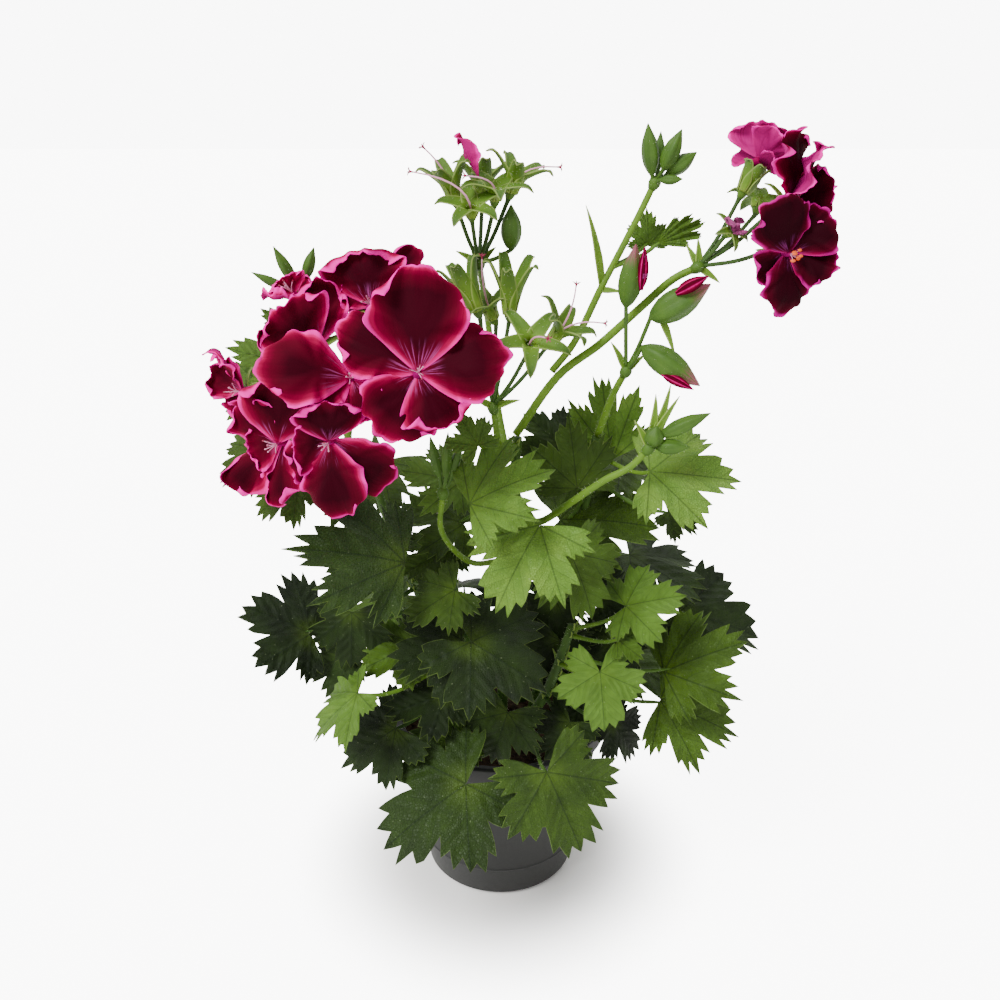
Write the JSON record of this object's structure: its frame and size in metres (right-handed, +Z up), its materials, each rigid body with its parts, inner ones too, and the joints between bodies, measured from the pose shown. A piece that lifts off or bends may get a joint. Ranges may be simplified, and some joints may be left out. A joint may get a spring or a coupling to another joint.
{
  "type": "potted regal pelargonium",
  "caption": "Potted flowering plant: dark nursery pot with soil, lobed saw-edged leaves on branching stems, and umbels of dark crimson blooms with ruffled pink edges.",
  "frame": {"origin": "middle of the pot's flat base", "axes": "+Z up along the pot's axis, -Y towards the side that shows most of the blooms, +X to the viewer's right"},
  "size_m": [0.2667, 0.2332, 0.3844],
  "materials": {
    "pot": "satin charcoal plastic",
    "soil": "matt crumbly soil",
    "leaf": "matt hairy leaf",
    "stalk": "hairy green stalk",
    "petal": "velvety petal",
    "petal_withered": "dry petal"
  },
  "bodies": {
    "root": {"pot": "pot", "soil": "soil", "left_leafy_stem": "leaf", "front_left_leafy_stem": "leaf", "front_right_leafy_stem": "leaf", "centre_leafy_stem": "leaf", "right_leafy_stem": "leaf", "back_left_leafy_stem": "leaf", "back_right_leafy_stem": "leaf", "left_head_stalk": "stalk", "upper_spent_umbel": "stalk", "lower_spent_umbel": "stalk", "right_spray_stalk": "stalk", "top_bud_stalk": "stalk", "middle_bud_stalk": "stalk", "side_bud_stalk": "stalk", "small_bud_stalk": "stalk", "bloom_front": "petal", "bloom_top": "petal", "bloom_curled": "petal", "bloom_upper_left": "petal", "bloom_middle": "petal", "bloom_lower": "petal", "bloom_lower_left": "petal", "bloom_far_left": "petal", "bloom_right_front": "petal", "bloom_right_side": "petal", "bloom_right_back": "petal", "last_petal": "petal", "bud_petals_upper": "petal", "bud_petals_middle": "petal", "bud_petals_lower": "petal", "bloom_withered": "petal_withered"}
  },
  "joints": []
}
